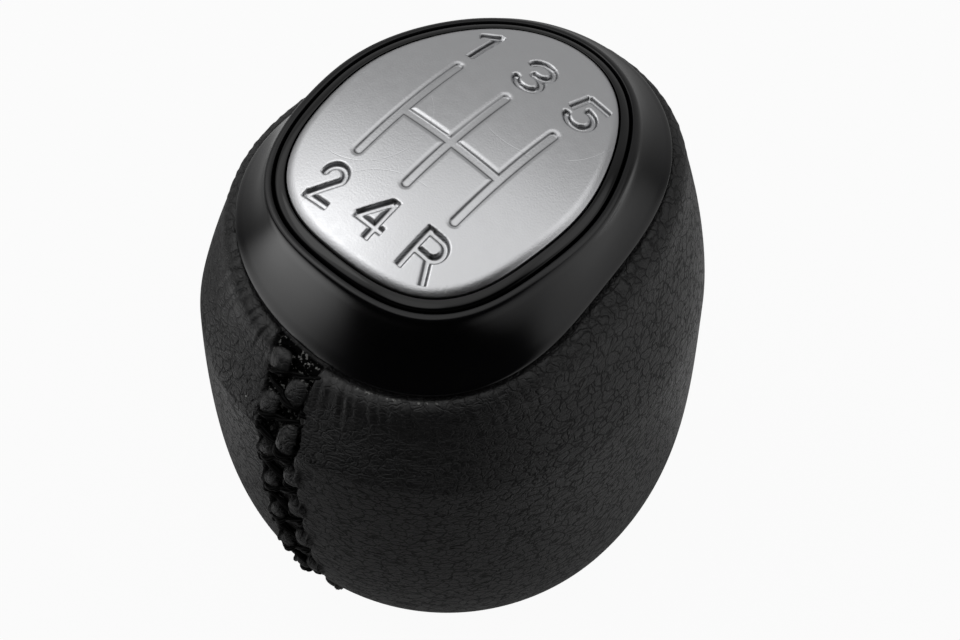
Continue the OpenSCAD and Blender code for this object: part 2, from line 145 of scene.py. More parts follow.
def skin(a, s):
    """Smooth skin of the grip. Level s runs from 0 at the bezel past 1 at the widest place to 2 underneath,
    along a power of sine and cosine above and a superellipse below."""
    a, s = np.broadcast_arrays(a, s)
    top = at_height(bezel_plan(a, 0), edge_z(bezel_plan(a, 0)))
    w = widest(a)
    flat = SHOULDER_FLAT - SHOULDER_FLAT_REAR * np.cos(a)
    t = np.clip(s, 0, 1) * np.pi / 2
    upper = between(top, w, np.sin(t) ** flat, np.maximum(np.cos(t), 0) ** flat)
    full = 2 / (BODY_FULL - BODY_FULL_REAR * np.cos(a))
    down = np.sin(np.clip(s - 1, 0, 1) * np.pi / 2)
    keep = np.maximum(0, 1 - down**full) ** (1 / full)
    lower = between(at_height(polar(BASE_R, a, 0), COLLAR_PROUD), w, keep, down)
    return np.where((s <= 1)[..., None], upper, lower)


def skin_normal(a, s):
    """Outward normal of the skin, from a short step either way along both parameters."""
    step_a, step_s = np.radians(1), 0.02
    m = np.clip(s, 1.2 * step_s, 2 - 1.2 * step_s)
    across = skin(a + step_a, m) - skin(a - step_a, m)
    along = skin(a, m + step_s) - skin(a, m - step_s)
    return unit(np.cross(across, along))


def rearward(a):
    """Share that is one at the rear and none from the sides forward."""
    return np.maximum(0, -np.cos(a)) ** 1.5


# Seam at the rear. A place on it is a share of its half width and a run of leather down from the bezel.
SEAM_HALF_TOP, SEAM_HALF_LOW, SEAM_SPREAD, SEAM_LEAN = 4.2, 2.95, 0.55, 1.5
SEAM_PUFF, SEAM_VALLEY, SEAM_FADE_H = 0.95, 0.5, 4.0
STITCH_COUNT, STITCH_FIRST, STITCH_STEP, STITCH_GROWTH = 7, 5.1, 5.5, 0.65
HOLE_OUT, NOTCH_IN, NOTCH_SHARE, STITCH_START, THREAD_ROOM = 0.17, 0.62, 0.45, 0.5, 0.58
RUN_POWER, LAST_LEVEL = 0.72, 1.86
PUFF_COUNT, PUFF_WIDE, PUFF_HALF_LEFT, PUFF_HALF_RIGHT = STITCH_COUNT + 1, 0.43, 1.4, 1.75
PUFF_EDGE, PUFF_ROUND, PUFF_ASKEW = 2.6, 0.45, 0.25

# Relief of the leather: height in millimetres, level of its middle and spread in levels
LIP_H, LIP_AT, LIP_SPREAD, PLEAT_SPREAD = 0.38, 0.26, 0.12, 0.24
RIDGE_H, RIDGE_AT, RIDGE_SPREAD = 0.25, 1.02, 0.16
HOLLOW_H, HOLLOW_AT, HOLLOW_SPREAD = 0.45, 0.55, 0.24


def seam_half(s):
    """Half width of the seam at a level: widest at the bezel."""
    return SEAM_HALF_LOW + (SEAM_HALF_TOP - SEAM_HALF_LOW) * bump(s, SEAM_SPREAD)


def seam_middle(s):
    """Middle of the seam at a level: it leans to the right on its way down."""
    return SEAM_LEAN * (1 - bump(s, 1))


REAR_RIM, REAR_WIDEST = skin(np.array([np.pi]), np.array([0.0]))[0], widest(np.array(np.pi))
SHOULDER_RUN = 1.02 * float(np.linalg.norm(REAR_WIDEST - REAR_RIM))
LOW_RUN = 1.16 * float(REAR_WIDEST[2] - COLLAR_PROUD)
SEAM_END = SHOULDER_RUN + LOW_RUN * (1 - (2 - LAST_LEVEL) ** (1 / RUN_POWER))


def seam_level(run):
    """Level of the skin at a run down the rear: arc cosine over the shoulder, a power below it."""
    high = np.arccos(np.clip(1 - 2 * run / SHOULDER_RUN, -1, 1)) / np.pi
    low = 2 - np.clip(1 - (run - SHOULDER_RUN) / LOW_RUN, 0, None) ** RUN_POWER
    return np.where(run < SHOULDER_RUN, high, low)


def seam_run(s):
    """Run at a level, the other way round."""
    high = SHOULDER_RUN * (1 - np.cos(np.pi * np.clip(s, 0, 1))) / 2
    low = SHOULDER_RUN + LOW_RUN * (1 - np.clip(2 - s, 0, 1) ** (1 / RUN_POWER))
    return np.where(s < 1, high, low)


def hole_run(k):
    """Run of a stitch hole at the seam's left side: the steps between the holes grow downwards."""
    steps = [STITCH_FIRST + STITCH_STEP * j + STITCH_GROWTH * j * (j - 1) / 2 for j in (k, STITCH_COUNT)]
    return steps[0] * SEAM_END / steps[1]


def notch_run(k):
    """Run of a notch at the right side, a little above the middle between two holes."""
    return STITCH_START if k < 0 else hole_run(k) + NOTCH_SHARE * (hole_run(k + 1) - hole_run(k))


def tooth_run(k):
    """Run of the leather's tip at the right side, beside a hole and a little lower with each."""
    return hole_run(k) + 0.15 * k


def leg_run(k, share):
    """Run of the leg of thread that comes down from a notch to the next hole, at a place across the seam."""
    high, low = notch_run(k - 1) + THREAD_ROOM, hole_run(k) - THREAD_ROOM
    return (high + low) / 2 + share * (high - low) / 2


def pillow(share, run, place, middle, wide, half):
    """Leather puffed up beside a leg of thread: a rounded patch of height one, a little askew."""
    u = (share - place) / wide
    v = (run - middle) / half + PUFF_ASKEW * u
    return np.maximum(0, 1 - np.abs(u) ** PUFF_EDGE - np.abs(v) ** PUFF_EDGE) ** PUFF_ROUND


def puffs(share, run):
    """Highest of the puffs: one at the left above each of those legs and one at the right below it. The
    first ones are larger and sit further left."""
    height = np.zeros_like(share)
    for k in range(PUFF_COUNT):
        large = 1 + 0.4 * max(0, 1 - k / 2)
        left_run = leg_run(k, -0.5) - 1.2 + 0.3 * (k == 0)
        left = pillow(share, run, -0.5 - 0.14 * (k < 2), left_run, PUFF_WIDE, PUFF_HALF_LEFT * large)
        right_place = min(0.64, 0.16 + 0.26 * k)
        right = pillow(share, run, right_place, tooth_run(k), PUFF_WIDE, PUFF_HALF_RIGHT * large)
        height = np.maximum(height, np.maximum(left, right))
    return height


def seam_inside(share, run):
    """One inside the seam and none outside it. Its right edge is toothed, with the tips beside the stitch
    holes, and further in at the top."""
    tips = [1 - np.abs(run - tooth_run(k)) / (2.3 + 0.2 * k) for k in range(1, PUFF_COUNT)]
    tooth = np.clip(np.maximum.reduce(tips), 0, 1)
    right = 0.62 + 0.2 * ease((run - 7) / 2) + 0.24 * tooth
    left = 1.1 - 0.24 * ease((run - 10) / 2)
    return ease((right - share) / 0.1) * ease((share + left) / 0.12)


# Pleats round the lip: share of the height, number of crests, phase and phase of the slower bend
PLEAT_WAVES = ((0.5, 97, 0.4, 0.0), (0.35, 151, 1.7, 1.1), (0.3, 61, 2.9, 2.3))


def ring_wave(a, count, phase, turn):
    """Wave round the grip with a whole number of crests, bent by a slower wave."""
    return np.cos(count * a + phase + 2.2 * np.sin(3 * a + turn) + 1.4 * np.sin(7 * a + 2 * turn))


def seam_share(p, s):
    """Place across the seam as a share of its half width, far outside it for the front."""
    return np.where(p[..., 1] > 0, 9.0, (p[..., 0] - seam_middle(s)) / seam_half(s))


def seam_relief(p, s):
    """Trough of the seam with puffs of folded leather in it, fading out at both ends."""
    share = seam_share(p, s)
    fade = np.clip(np.minimum(s / 0.12, (p[..., 2] - COLLAR_PROUD) / SEAM_FADE_H), 0, 1)
    run = seam_run(s)
    return fade * (SEAM_PUFF * puffs(share, run) - SEAM_VALLEY * seam_inside(share, run))


def seam_dark(p, s):
    """Share of shadow in the seam: full in the gaps between the puffs, none on them and outside the seam."""
    share, run = seam_share(p, s), seam_run(s)
    return seam_inside(share, run) * ease(s / 0.08) * (1 - ease((puffs(share, run) - 0.45) / 0.3))


def frayed(p, s, dark):
    """Places with loose pale fibres and dried glue: the seam's upper end, and the lip to the right of it."""
    run, across = seam_run(s), p[..., 0]
    glue = bump(run - 0.4, 0.1) * ease((across - 3) / 2) * ease((17 - across) / 3) * (p[..., 1] < 0)
    return np.maximum(0.8 * glue, 0.45 * dark * (1 - ease((run - 7) / 6)))


def shoulder_relief(a, s):
    """Soft ridge along the rear's widest level and soft hollow above it."""
    ridge, hollow = bump(s - RIDGE_AT, RIDGE_SPREAD), bump(s - HOLLOW_AT, HOLLOW_SPREAD)
    return rearward(a) * (RIDGE_H * ridge - HOLLOW_H * hollow)


def leather_relief(a, s, p, props):
    """Height of the leather over the smooth skin: lip, hollow, ridge, pleats and the seam's puffs."""
    lip = LIP_H * bump(s - LIP_AT, LIP_SPREAD) - CREVICE_DEPTH * bump(s, CREVICE_WIDTH)
    pleats = sum(share * ring_wave(a, *wave) for share, *wave in PLEAT_WAVES)
    pleats = props.pleat / MM * pleats * bump(s - LIP_AT, PLEAT_SPREAD) * (0.4 + 0.6 * rearward(a))
    return lip + shoulder_relief(a, s) + pleats * (1 - bump(seam_share(p, s), 1.0)) + seam_relief(p, s)


def new_object(name, verts, quads, tris=None, attributes=None):
    """Mesh object from arrays: vertices in millimetres, four- and three-sided faces, all smooth, and numbers
    for each vertex under the names of their attributes."""
    tris = np.zeros((0, 3), int) if tris is None else tris
    mesh = bpy.data.meshes.new(name)
    verts = verts.reshape(-1, 3)
    mesh.vertices.add(len(verts))
    mesh.vertices.foreach_set("co", (verts * MM).astype(np.float32).ravel())
    loops = np.concatenate([quads.ravel(), tris.ravel()]).astype(np.int32)
    mesh.loops.add(len(loops))
    mesh.loops.foreach_set("vertex_index", loops)
    sizes = np.concatenate([np.full(len(quads), 4), np.full(len(tris), 3)])
    starts = np.concatenate([[0], np.cumsum(sizes)[:-1]]).astype(np.int32)
    mesh.polygons.add(len(sizes))
    mesh.polygons.foreach_set("loop_start", starts)
    mesh.update(calc_edges=True)
    mesh.polygons.foreach_set("use_smooth", np.ones(len(sizes), bool))
    for key, values in (attributes or {}).items():
        layer = mesh.attributes.new(key, "FLOAT", "POINT")
        layer.data.foreach_set("value", values.astype(np.float32).ravel())
    mesh.validate()
    obj = bpy.data.objects.new(name, mesh)
    bpy.context.scene.collection.objects.link(obj)
    return obj


def ring_quads(rows, cols, close=False):
    """Quads between rows of closed loops. Rows run down an outer wall, and columns clockwise seen from
    above; close joins the last row to the first."""
    j = np.arange(rows if close else rows - 1)[:, None]
    i = np.arange(cols)[None, :]
    below, beside = (j + 1) % rows, (i + 1) % cols
    corners = (j * cols + i, j * cols + beside, below * cols + beside, below * cols + i)
    return np.stack(np.broadcast_arrays(*corners), axis=-1).reshape(-1, 4)


def fan(centre, loop, first):
    """Triangles from a centre vertex to the loop that closes the first or the last row of a wall."""
    nxt = np.roll(loop, -1)
    tris = np.stack([np.full_like(loop, centre), loop, nxt], axis=-1)
    return tris[:, ::-1] if first else tris


def finish_piece(obj, material, slot, *nodes):
    """Gives a piece its material, rides it on the knob and lets it stand for its solid. The slot is not used.
    """
    obj.data.materials.append(material)
    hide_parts(*nodes)
    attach(obj, "root")


class LeatherProps(PropertyGroup):
    pleat: FloatProperty(
        name="Pleat height", description="Height of the fine pleats at the lip", default=0.00012,
        unit="LENGTH", precision=5,
    )
    columns: IntProperty(name="Columns", description="Mesh columns round the grip", default=500, min=160)
    colour: FloatVectorProperty(
        name="Colour", description="Dyed leather", default=(0.012, 0.012, 0.0123), subtype="COLOR"
    )
    grain: FloatProperty(
        name="Grain size", description="Size of one pebble of the grain", default=0.0015,
        unit="LENGTH", precision=5,
    )


class PlateProps(PropertyGroup):
    stroke: FloatProperty(
        name="Numeral stroke", description="Width of a numeral's stroke", default=0.00085,
        unit="LENGTH", precision=5,
    )
    numeral_depth: FloatProperty(
        name="Numeral depth", description="Depth of the pressed numerals", default=0.0006,
        unit="LENGTH", precision=5,
    )
    gate_depth: FloatProperty(
        name="Gate depth", description="Depth of the gate pattern", default=0.00035,
        unit="LENGTH", precision=5,
    )
    steps: IntProperty(name="Grid steps", description="Mesh steps across the plate", default=290, min=60)
    colour: FloatVectorProperty(
        name="Colour", description="Satin aluminium", default=(0.78, 0.785, 0.80), subtype="COLOR"
    )


class TrimProps(PropertyGroup):
    bezel_colour: FloatVectorProperty(
        name="Bezel colour", description="Satin moulded plastic", default=(0.0025, 0.0025, 0.003),
        subtype="COLOR",
    )
    rim_colour: FloatVectorProperty(
        name="Rim colour", description="Glossy moulded plastic", default=(0.002, 0.002, 0.0022),
        subtype="COLOR",
    )


class ThreadProps(PropertyGroup):
    diameter: FloatProperty(
        name="Thread diameter", description="Thickness of the seam's thread", default=0.00075,
        unit="LENGTH", precision=5,
    )
    colour: FloatVectorProperty(
        name="Colour", description="Waxed black thread", default=(0.003, 0.003, 0.003), subtype="COLOR"
    )


class StageProps(PropertyGroup):
    lens: FloatProperty(name="Lens", description="Focal length of the camera in millimetres", default=115.8)
    key: FloatProperty(name="Key light", description="Power of the key softbox", default=0.65, unit="POWER")


def math_node(tree, kind, a, b=None, c=None):
    """Math node whose inputs are sockets or plain numbers; gives back its output."""
    node = tree.nodes.new("ShaderNodeMath")
    node.operation = kind
    for n, value in enumerate((a, b, c)):
        if value is None:
            continue
        if isinstance(value, (int, float)):
            node.inputs[n].default_value = value
        else:
            tree.links.new(value, node.inputs[n])
    return node.outputs[0]


def vector_node(tree, kind, a, b=None):
    """Vector maths on a socket and a plain vector; gives back the vector, or the number of a dot product or
    a length."""
    node = tree.nodes.new("ShaderNodeVectorMath")
    node.operation = kind
    tree.links.new(a, node.inputs[0])
    if b is not None:
        node.inputs[1].default_value = tuple(b)
    return node.outputs["Value" if kind in ("DOT_PRODUCT", "LENGTH") else "Vector"]


def noise_node(tree, vector, scale, detail):
    """Noise on a vector at a plain scale."""
    node = tree.nodes.new("ShaderNodeTexNoise")
    node.inputs["Scale"].default_value = scale
    node.inputs["Detail"].default_value = detail
    tree.links.new(vector, node.inputs["Vector"])
    return node


def ramp(tree, value, low, high, to_low=0.0, to_high=1.0):
    """Smooth map of a value from one range to another."""
    node = tree.nodes.new("ShaderNodeMapRange")
    node.interpolation_type = "SMOOTHSTEP"
    for n, number in zip((1, 2, 3, 4), (low, high, to_low, to_high)):
        node.inputs[n].default_value = number
    tree.links.new(value, node.inputs[0])
    return node.outputs[0]


def new_group(name, values, outputs):
    """Empty shader group: a vector and named numbers go in, and named numbers come out."""
    tree = bpy.data.node_groups.new(name, "ShaderNodeTree")
    tree.interface.new_socket(name="Vector", in_out="INPUT", socket_type="NodeSocketVector")
    for label, default in values.items():
        socket = tree.interface.new_socket(name=label, in_out="INPUT", socket_type="NodeSocketFloat")
        socket.default_value = default
    for label in outputs:
        tree.interface.new_socket(name=label, in_out="OUTPUT", socket_type="NodeSocketFloat")
    return tree, tree.nodes.new("NodeGroupInput"), tree.nodes.new("NodeGroupOutput")


def grain_group():
    """Leather grain: rounded cells of two sizes bent by slow noise, creases between them and fine pores."""
    g, into, out = new_group("Leather grain", {"Size": 0.001}, ("Height", "Crease"))
    scaled = g.nodes.new("ShaderNodeVectorMath")
    scaled.operation = "SCALE"
    g.links.new(into.outputs["Vector"], scaled.inputs[0])
    g.links.new(math_node(g, "DIVIDE", 1.0, into.outputs["Size"]), scaled.inputs["Scale"])
    wobble = noise_node(g, scaled.outputs[0], 0.7, 2)
    bent = g.nodes.new("ShaderNodeVectorMath")
    bent.operation = "MULTIPLY_ADD"
    g.links.new(wobble.outputs["Color"], bent.inputs[0])
    bent.inputs[1].default_value = (1.6, 1.6, 1.6)
    g.links.new(scaled.outputs[0], bent.inputs[2])
    cells = []
    for scale, edge in ((1.0, 0.11), (2.3, 0.12)):
        cell = g.nodes.new("ShaderNodeTexVoronoi")
        cell.feature = "DISTANCE_TO_EDGE"
        cell.inputs["Scale"].default_value = scale
        g.links.new(bent.outputs[0], cell.inputs["Vector"])
        cells.append(ramp(g, cell.outputs["Distance"], 0.0, edge))
    large, small = cells
    pores = noise_node(g, bent.outputs[0], 5.0, 3)
    fine = math_node(g, "MULTIPLY_ADD", small, 0.3, math_node(g, "MULTIPLY", pores.outputs[0], 0.7))
    mixed = math_node(g, "MULTIPLY_ADD", large, 0.6, fine)
    g.links.new(mixed, out.inputs["Height"])
    g.links.new(math_node(g, "SUBTRACT", 1.0, large), out.inputs["Crease"])
    return g


def speck_group():
    """Dust: rare small spots from a cell pattern."""
    g, into, out = new_group("Dust specks", {"Spacing": 300.0, "Share": 0.06}, ("Mask",))
    cell = g.nodes.new("ShaderNodeTexVoronoi")
    g.links.new(into.outputs["Vector"], cell.inputs["Vector"])
    g.links.new(into.outputs["Spacing"], cell.inputs["Scale"])
    split = g.nodes.new("ShaderNodeSeparateColor")
    g.links.new(cell.outputs["Color"], split.inputs[0])
    chosen = math_node(g, "LESS_THAN", split.outputs[0], into.outputs["Share"])
    small = math_node(g, "LESS_THAN", cell.outputs["Distance"], 0.05)
    g.links.new(math_node(g, "MULTIPLY", chosen, small), out.inputs["Mask"])
    return g


def mottle_group():
    """Mottle: soft noise spread between a low and a high value."""
    g, into, out = new_group("Mottle", {"Scale": 200.0, "Low": 0.3, "High": 0.4}, ("Value",))
    noise = noise_node(g, into.outputs["Vector"], 1.0, 4)
    g.links.new(into.outputs["Scale"], noise.inputs["Scale"])
    span = math_node(g, "SUBTRACT", into.outputs["High"], into.outputs["Low"])
    value = math_node(g, "MULTIPLY_ADD", noise.outputs[0], span, into.outputs["Low"])
    g.links.new(value, out.inputs["Value"])
    return g


GROUPS = {}


def place_group(tree, maker, vector, **values):
    """Places a node group, made the first time it is asked for, in a material with its own values."""
    if maker not in GROUPS:
        GROUPS[maker] = maker()
    node = tree.nodes.new("ShaderNodeGroup")
    node.node_tree = GROUPS[maker]
    tree.links.new(vector, node.inputs["Vector"])
    for key, value in values.items():
        node.inputs[key].default_value = value
    return node


def mottle(tree, place, scale, low=0.0, high=1.0):
    """Mottle between two values."""
    return place_group(tree, mottle_group, place, Scale=scale, Low=low, High=high).outputs["Value"]


def new_material(name, colour, roughness, metallic=0.0, specular=0.5):
    """Principled material with plain socket values, its tree, its shader and object coordinates."""
    mat = bpy.data.materials.new(name)
    mat.use_nodes = True
    mat.diffuse_color = (*colour, 1)
    tree = mat.node_tree
    shader = tree.nodes["Principled BSDF"]
    shader.inputs["Base Color"].default_value = (*colour, 1)
    shader.inputs["Roughness"].default_value = roughness
    shader.inputs["Metallic"].default_value = metallic
    shader.inputs["Specular IOR Level"].default_value = specular
    place = tree.nodes.new("ShaderNodeTexCoord").outputs["Object"]
    return mat, tree, shader, place


def add_bump(tree, shader, height, depth):
    """Bump of a depth in metres from a height of 0 to 1."""
    node = tree.nodes.new("ShaderNodeBump")
    node.inputs["Strength"].default_value = 1.0
    node.inputs["Distance"].default_value = depth
    tree.links.new(height, node.inputs["Height"])
    tree.links.new(node.outputs[0], shader.inputs["Normal"])


def attribute_node(tree, name):
    """Value of a mesh attribute."""
    node = tree.nodes.new("ShaderNodeAttribute")
    node.attribute_name = name
    return node.outputs["Fac"]


def mix_colour(tree, mask, first, second):
    """Colour between two colours, plain or from sockets, by a mask."""
    node = tree.nodes.new("ShaderNodeMix")
    node.data_type = "RGBA"
    tree.links.new(mask, node.inputs["Factor"])
    for key, value in (("A", first), ("B", second)):
        socket = [s for s in node.inputs if s.name == key and s.type == "RGBA"][0]
        if isinstance(value, tuple):
            socket.default_value = (*value, 1)
        else:
            tree.links.new(value, socket)
    return [s for s in node.outputs if s.type == "RGBA"][0]


PALE_FIBRE = (0.24, 0.24, 0.23)
# CREASE_SHADE and the shade tone set the painted shade in the grain's creases and the seam's gaps
CREASE_SHADE, PAINTED_SHADE_TONE, TAUT_SHARE, GRAIN_DEPTH = 0.4, 0.15, 0.75, 0.00016


def leather_material(props):
    """Dyed leather: pebble grain in bump, painted shade in the creases, painted black shade in the seam's
    gaps, pale fibres and a little dust. Metallic without colour takes the shine out of creases and gaps as
    painted shade."""
    colour = tuple(props.colour)
    mat, tree, shader, place = new_material("Black leather", colour, 0.5)
    flat = vector_node(tree, "MULTIPLY", place, (1, 1, 1.5))
    grain = place_group(tree, grain_group, flat, Size=props.grain)
    dust = place_group(tree, speck_group, place, Spacing=420.0, Share=0.05)
    fibres = ramp(tree, mottle(tree, place, 2200.0), 0.56, 0.64)
    loose = math_node(tree, "MULTIPLY", fibres, attribute_node(tree, "fray"))
    pale = math_node(tree, "MAXIMUM", loose, dust.outputs["Mask"])
    slack = math_node(tree, "MULTIPLY_ADD", attribute_node(tree, "taut"), -TAUT_SHARE, 1.0)
    crease = math_node(tree, "MULTIPLY", grain.outputs["Crease"], slack)
    # Painted shade: the grain's creases and the seam's gaps darken the colour and take out the shine
    painted_crease_shade = math_node(tree, "MULTIPLY", crease, CREASE_SHADE)
    deep = math_node(tree, "MAXIMUM", painted_crease_shade, attribute_node(tree, "shade"))
    deep = math_node(tree, "MULTIPLY", deep, math_node(tree, "SUBTRACT", 1.0, pale))
    tree.links.new(deep, shader.inputs["Metallic"])
    shaded_colour = mix_colour(tree, deep, colour, tuple(PAINTED_SHADE_TONE * c for c in colour))
    tree.links.new(mix_colour(tree, pale, shaded_colour, PALE_FIBRE), shader.inputs["Base Color"])
    tree.links.new(math_node(tree, "MULTIPLY_ADD", crease, 0.2, 0.45), shader.inputs["Roughness"])
    height = math_node(tree, "MULTIPLY", grain.outputs["Height"], slack)
    add_bump(tree, shader, height, GRAIN_DEPTH)
    return mat


# Faint scratches on the plate: the plan centre and the radius of each arc, in millimetres
SCRATCHES = (((-1.5, -7.0), 5.2), ((2.0, -15.5), 9.5), ((3.4, 12.0), 8.2), ((-9.0, -2.5), 6.4))
SCRATCH_HALF, SCRATCH_DEEP, PLATE_GRAIN_DEPTH = 0.00007, 0.45, 0.00002
# Colour of the painted shade on the walls of the pressed lines
PAINTED_WALL_SHADE = (0.06, 0.06, 0.065)


def plate_material(props):
    """Satin aluminium: mottled roughness and fine bump, painted shade on the walls of the pressed lines, and
    faint scratches that break off where a slow mottle is low."""
    mat, tree, shader, place = new_material("Satin aluminium", tuple(props.colour), 0.34, metallic=1.0)
    # Painted shade: the walls of the pressed lines are darkened in colour
    walls = attribute_node(tree, "shade")
    shaded_colour = mix_colour(tree, walls, tuple(props.colour), PAINTED_WALL_SHADE)
    tree.links.new(shaded_colour, shader.inputs["Base Color"])
    tree.links.new(mottle(tree, place, 900.0, 0.26, 0.42), shader.inputs["Roughness"])
    height = mottle(tree, place, 4500.0)
    kept = ramp(tree, mottle(tree, place, 160.0), 0.46, 0.54)
    flat = vector_node(tree, "MULTIPLY", place, (1, 1, 0))
    for middle, radius in SCRATCHES:
        away = vector_node(tree, "SUBTRACT", flat, (middle[0] * MM, middle[1] * MM, 0))
        length = vector_node(tree, "LENGTH", away)
        off = math_node(tree, "ABSOLUTE", math_node(tree, "SUBTRACT", length, radius * MM))
        line = math_node(tree, "MULTIPLY", ramp(tree, off, 0.0, SCRATCH_HALF, 1.0, 0.0), kept)
        height = math_node(tree, "MULTIPLY_ADD", line, -SCRATCH_DEEP, height)
    add_bump(tree, shader, height, PLATE_GRAIN_DEPTH)
    return mat


def plastic_material(name, colour, low, high, depth, scale, specular=0.5):
    """Moulded plastic: mottled roughness and a fine surface texture."""
    mat, tree, shader, place = new_material(name, tuple(colour), (low + high) / 2, specular=specular)
    tree.links.new(mottle(tree, place, 260.0, low, high), shader.inputs["Roughness"])
    add_bump(tree, shader, mottle(tree, place, scale), depth)
    return mat


def metal_material(name, colour, low, high):
    """Plain metal with mottled roughness."""
    mat, tree, shader, place = new_material(name, tuple(colour), (low + high) / 2, metallic=1.0)
    tree.links.new(mottle(tree, place, 500.0, low, high), shader.inputs["Roughness"])
    return mat


LINING = (0.25, 0.5, 0.75, 1.0, 1.4, 1.7, 1.88)
LIP_ROWS, LOW_ROWS = 66, 118
LOW_END = 1.95
HEM_R = COLLAR_R + SHOW_GAP
TAUT_AT, TAUT_SPREAD = 0.2, 0.45


def tuck_pt(a, down):
    """Point of the leather's hidden top edge, tucked level under the bezel."""
    return at_height(bezel_plan(a, -TUCK_IN), edge_z(bezel_plan(a, 0)) - CREVICE_DEPTH - down)


def hem_pt(a, up):
    """Point of the leather's lower edge, beside the collar."""
    return at_height(polar(HEM_R, a, 0), COLLAR_PROUD + up)


class KNOB_OT_leather(Operator):
    """Leather cover over the core, from its tuck under the bezel to its hem at the collar"""
    bl_idname = "knob.leather"
    bl_label = "Leather cover"

    def execute(self, context):
        props = context.scene.knob_leather
        n = props.columns
        turn = np.arange(n) * 2 * np.pi / n
        a = turn + CROWD * np.sin(turn)
        low = 1 + (LOW_END - 1) * np.linspace(0, 1, LOW_ROWS) ** 0.9
        levels = np.concatenate([np.arange(LIP_ROWS) / LIP_ROWS, low])
        aa, ss = np.meshgrid(a, levels)
        p = skin(aa, ss)
        outer = p + leather_relief(aa, ss, p, props)[..., None] * skin_normal(aa, ss)
        lining = [skin(a, s) - LEATHER_T * skin_normal(a, np.full_like(a, s)) for s in LINING]
        rows = [tuck_pt(a, 0)[None], outer, hem_pt(a, 0)[None], hem_pt(a, LEATHER_T)[None]]
        rows += [row[None] for row in lining[::-1]] + [tuck_pt(a, LEATHER_T)[None]]
        verts = np.concatenate(rows)
        # Painted shade: this mask darkens the leather's colour in the seam's gaps
        dark = seam_dark(p, ss)
        taut = bump(ss - TAUT_AT, TAUT_SPREAD) * (0.3 + 0.7 * rearward(aa))
        masks = {"shade": dark, "fray": frayed(p, ss, dark), "taut": taut}
        for key, values in masks.items():
            masks[key] = np.zeros(verts.shape[:2])
            masks[key][1:1 + len(levels)] = values
        quads = ring_quads(len(verts), n, close=True)
        obj = new_object("leather_cover_fine", verts, quads, attributes=masks)
        finish_piece(obj, leather_material(props), "black_leather", "leather_cover")
        return {"FINISHED"}


def seam_pt(share, run, lift):
    """Point over the rear leather at a place on the seam, and the skin's normal there."""
    s = seam_level(run)
    x = seam_middle(s) + share * (seam_half(s) + np.where(share < 0, HOLE_OUT, -NOTCH_IN))
    side = np.full_like(s, np.radians(165))
    a = np.pi - np.arcsin(x * np.sin(side) / skin(side, s)[..., 0])
    p = skin(a, s)
    normal = skin_normal(a, s)
    return p + (shoulder_relief(a, s) + seam_relief(p, s) + lift)[..., None] * normal, normal


def tube(path, out, radius, sides):
    """Round tube along a path, with both ends rounded by shrinking rings: vertices, quads and end fans."""
    t = unit(np.gradient(path, axis=0))
    side = unit(np.cross(t, out))
    up = np.cross(side, t)
    turn = np.arange(sides) * 2 * np.pi / sides
    ring = np.cos(turn)[None, :, None] * up[:, None] + np.sin(turn)[None, :, None] * side[:, None]
    verts = path[:, None] + radius * ring
    cap = radius * 0.6
    verts = np.concatenate([
        path[:1, None] + 0.6 * radius * ring[:1] - cap * t[:1, None], verts,
        path[-1:, None] + 0.6 * radius * ring[-1:] + cap * t[-1:, None]])
    rows = len(verts)
    ends = np.stack([path[0] - 1.2 * cap * t[0], path[-1] + 1.2 * cap * t[-1]])
    flat = np.concatenate([verts.reshape(-1, 3), ends])
    first = np.arange(sides)
    last = (rows - 1) * sides + np.arange(sides)
    tris = np.concatenate([fan(rows * sides, first, True), fan(rows * sides + 1, last, False)])
    return flat, ring_quads(rows, sides), tris


def join_parts(parts):
    """One set of arrays from several sets of vertices, quads and triangles."""
    verts, quads, tris = zip(*parts)
    bases = np.cumsum([0] + [len(v) for v in verts[:-1]])
    quads, tris = ([part + base for part, base in zip(faces, bases)] for faces in (quads, tris))
    return np.concatenate(verts), np.concatenate(quads), np.concatenate(tris)


# Thickness of the twisted thread in radii of one strand, and how deep its ends dip into their holes
THREAD_RADII, HOLE_DIP = 3.6, 0.55


def strand(start, end, radius, turn):
    """One of two strands of a stitch, winding once round the other on the way from a hole to a notch."""
    k = np.linspace(0, 1, 49)
    share, run = (start[n] + (end[n] - start[n]) * k for n in range(2))
    angle = turn + 2 * np.pi * k
    sink = HOLE_DIP * (bump(k, 0.09) + bump(1 - k, 0.09))
    path, normal = seam_pt(share, run, 1.5 * radius - sink)
    side = unit(np.cross(np.gradient(path, axis=0), normal))
    path = path + radius * 0.85 * (np.cos(angle)[:, None] * side + np.sin(angle)[:, None] * normal)
    smooth = path.copy()
    smooth[1:-1] = (path[:-2] + 2 * path[1:-1] + path[2:]) / 4
    return tube(smooth, normal, radius, 10)


class KNOB_OT_thread(Operator):
    """Seam thread: twisted legs that zigzag between the holes at the left and the notches at the right"""
    bl_idname = "knob.thread"
    bl_label = "Seam thread"

    def execute(self, context):
        props = context.scene.knob_thread
        r = props.diameter / MM / THREAD_RADII
        legs = []
        for k in range(STITCH_COUNT + 1):
            low = (-1, hole_run(k) - THREAD_ROOM)
            legs.append(((1, notch_run(k - 1) + THREAD_ROOM), low))
            if k < STITCH_COUNT:
                hole = (-1, hole_run(k) + THREAD_ROOM)
                legs.append((hole, (1, notch_run(k) - THREAD_ROOM)))
        turns = [(n + turn, leg) for n, leg in enumerate(legs) for turn in (0, np.pi)]
        parts = [strand(*leg, r, turn) for turn, leg in turns]
        verts, quads, tris = join_parts(parts)
        obj = new_object("seam_thread_fine", verts, quads, tris)
        mat = plastic_material("Waxed thread", props.colour, 0.3, 0.45, 0.00004, 1500.0, 0.05)
        finish_piece(obj, mat, "black_thread", "seam_thread")
        return {"FINISHED"}


